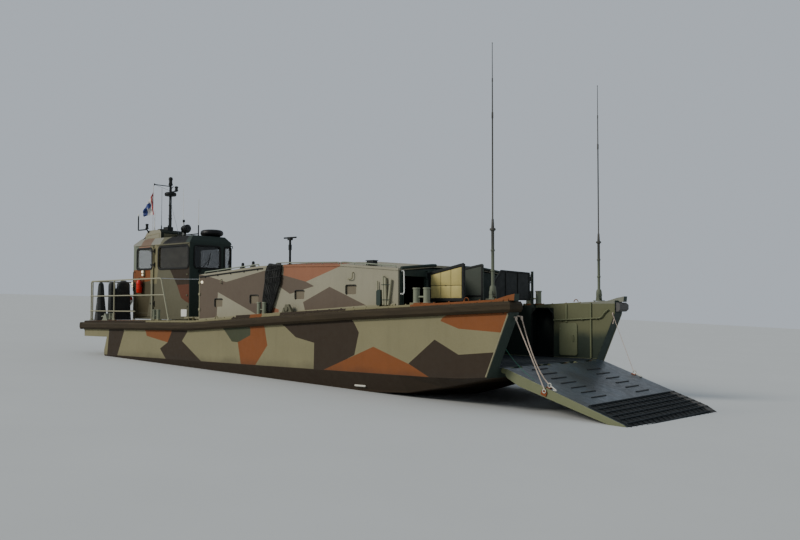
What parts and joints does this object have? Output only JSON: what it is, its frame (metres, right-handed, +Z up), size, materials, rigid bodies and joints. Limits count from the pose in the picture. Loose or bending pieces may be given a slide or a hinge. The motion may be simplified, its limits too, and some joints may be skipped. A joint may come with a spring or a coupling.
{
  "type": "landing craft",
  "caption": "Hard-chine aluminium landing craft with a bow ramp, open well, removable troop shelter, aft wheelhouse and twin waterjets.",
  "frame": {"origin": "on the centreline at the after end of the hull, on the waterline", "axes": "+X forward towards the ramp, +Y to port, +Z up"},
  "size_m": [16.3096, 4.5006, 6.8261],
  "materials": {
    "camouflage_paint": "matt sand-olive ground with large angular patches of brown, orange-brown and olive",
    "green_paint": "matt dark green",
    "lined_panel": "dark frame with a tan lining",
    "dark_paint": "matt near-black green",
    "fender_rubber": "brown-grey weathered rubber",
    "ramp_plate": "worn blue-grey anti-slip plate",
    "pale_metal": "pale grey-green paint",
    "rail_paint": "matt sand paint",
    "window_glass": "tinted",
    "seat_vinyl": "black vinyl",
    "helm_plastic": "black",
    "jet_metal": "dull cast aluminium",
    "net_fabric": "black scrambling net"
  },
  "bodies": {
    "craft": {"hull": "camouflage_paint", "shelter_wall_starboard": "camouflage_paint", "shelter_wall_port": "camouflage_paint", "shelter_roof_aft": "camouflage_paint", "shelter_roof_forward": "camouflage_paint", "shelter_aft": "camouflage_paint", "wheelhouse_shell": "camouflage_paint", "wheelhouse_roof": "camouflage_paint", "roof_pod": "camouflage_paint", "shelter_front": "green_paint", "helm_console": "dark_paint", "radome": "dark_paint", "stern_locker": "dark_paint", "fender_starboard": "fender_rubber", "fender_port": "fender_rubber", "fender_stern": "fender_rubber", "antenna_foot_starboard": "pale_metal", "antenna_foot_port": "pale_metal", "stern_rail_starboard": "rail_paint", "stern_rail_port": "rail_paint", "stern_rail_aft": "rail_paint", "window_starboard": "window_glass", "window_port": "window_glass", "windscreen_starboard": "window_glass", "windscreen_port": "window_glass", "window_aft": "window_glass", "helm_seat": "seat_vinyl", "jet_starboard": "jet_metal", "jet_port": "jet_metal", "net_bundle": "net_fabric"},
    "ramp": {"bow_ramp": "ramp_plate"},
    "shelter_door_starboard_leaf": {"shelter_door_starboard": "lined_panel"},
    "shelter_door_port_leaf": {"shelter_door_port": "green_paint"},
    "bow_screen_leaf": {"bow_screen": "dark_paint"},
    "antenna_post_starboard": {"antenna_starboard": "pale_metal"},
    "antenna_post_port": {"antenna_port": "pale_metal"},
    "cab_door_starboard": {"wheelhouse_door_starboard": "camouflage_paint", "door_window_starboard": "window_glass"},
    "cab_door_port": {"wheelhouse_door_port": "camouflage_paint", "door_window_port": "window_glass"},
    "hatch_starboard": {"engine_hatch_starboard": "camouflage_paint"},
    "hatch_port": {"engine_hatch_port": "camouflage_paint"},
    "mast_post": {"mast": "dark_paint"},
    "searchlight_head": {"searchlight": "dark_paint"},
    "helm": {"helm_wheel": "helm_plastic"},
    "nozzle_starboard": {"jet_nozzle_starboard": "jet_metal"},
    "nozzle_port": {"jet_nozzle_port": "jet_metal"},
    "bucket_starboard": {"jet_bucket_starboard": "jet_metal"},
    "bucket_port": {"jet_bucket_port": "jet_metal"}
  },
  "joints": [
    {"name": "ramp_hinge", "type": "hinge", "parent": "craft", "child": "ramp", "pos_m": [13.734, 0, 0.19], "axis": [0, -1, 0], "range_deg": [-6, 86]},
    {"name": "shelter_door_starboard_hinge", "type": "hinge", "parent": "craft", "child": "shelter_door_starboard_leaf", "pos_m": [11.4, -1.01, 1.75], "axis": [0, 0, 1], "range_deg": [-84, 20]},
    {"name": "shelter_door_port_hinge", "type": "hinge", "parent": "craft", "child": "shelter_door_port_leaf", "pos_m": [11.4, -0.02, 1.2], "axis": [0, 0, 1], "range_deg": [-90, 45]},
    {"name": "bow_screen_hinge", "type": "hinge", "parent": "craft", "child": "bow_screen_leaf", "pos_m": [12.08, 1.788, 1.8], "axis": [0, 0, 1], "range_deg": [0, 80]},
    {"name": "antenna_fold_starboard", "type": "hinge", "parent": "craft", "child": "antenna_post_starboard", "pos_m": [13.66, -1.975, 1.5285], "axis": [0, -1, 0], "range_deg": [0, 78]},
    {"name": "antenna_fold_port", "type": "hinge", "parent": "craft", "child": "antenna_post_port", "pos_m": [13.66, 1.975, 1.5285], "axis": [0, -1, 0], "range_deg": [0, 78]},
    {"name": "cab_door_starboard_hinge", "type": "hinge", "parent": "craft", "child": "cab_door_starboard", "pos_m": [1.52, -0.892, 2], "axis": [0, 0, 1], "range_deg": [0, 100]},
    {"name": "cab_door_port_hinge", "type": "hinge", "parent": "craft", "child": "cab_door_port", "pos_m": [1.52, 0.552, 2], "axis": [0, 0, -1], "range_deg": [0, 100]},
    {"name": "hatch_starboard_hinge", "type": "hinge", "parent": "craft", "child": "hatch_starboard", "pos_m": [4.07, -1.206, 1.029], "axis": [1, 0, 0], "range_deg": [0, 95]},
    {"name": "hatch_port_hinge", "type": "hinge", "parent": "craft", "child": "hatch_port", "pos_m": [4.07, 1.206, 1.029], "axis": [-1, 0, 0], "range_deg": [0, 95]},
    {"name": "mast_fold", "type": "hinge", "parent": "craft", "child": "mast_post", "pos_m": [0.95, 0, 3.555], "axis": [0, -1, 0], "range_deg": [0, 85]},
    {"name": "searchlight_pan", "type": "hinge", "parent": "craft", "child": "searchlight_head", "pos_m": [1.7, 0, 3.5], "axis": [0, 0, 1], "range_deg": [-170, 170]},
    {"name": "helm_spin", "type": "hinge", "parent": "craft", "child": "helm", "pos_m": [2.51, -0.31, 2.06], "axis": [-0.866, 0, 0.5], "range_deg": [-324, 324]},
    {"name": "jet_steer_starboard", "type": "hinge", "parent": "craft", "child": "nozzle_starboard", "pos_m": [0.73, -0.76, -0.15], "axis": [0, 0, 1], "range_deg": [-27, 27]},
    {"name": "jet_steer_port", "type": "hinge", "parent": "craft", "child": "nozzle_port", "pos_m": [0.73, 0.76, -0.15], "axis": [0, 0, 1], "range_deg": [-27, 27]},
    {"name": "jet_bucket_starboard_drop", "type": "hinge", "parent": "nozzle_starboard", "child": "bucket_starboard", "pos_m": [0.51, -0.76, -0.15], "axis": [0, -1, 0], "range_deg": [0, 52]},
    {"name": "jet_bucket_port_drop", "type": "hinge", "parent": "nozzle_port", "child": "bucket_port", "pos_m": [0.51, 0.76, -0.15], "axis": [0, -1, 0], "range_deg": [0, 52]}
  ],
  "couplings": [
    {"joint": "jet_steer_port", "follows": "jet_steer_starboard", "ratio": 1},
    {"joint": "helm_spin", "follows": "jet_steer_starboard", "ratio": -12}
  ]
}
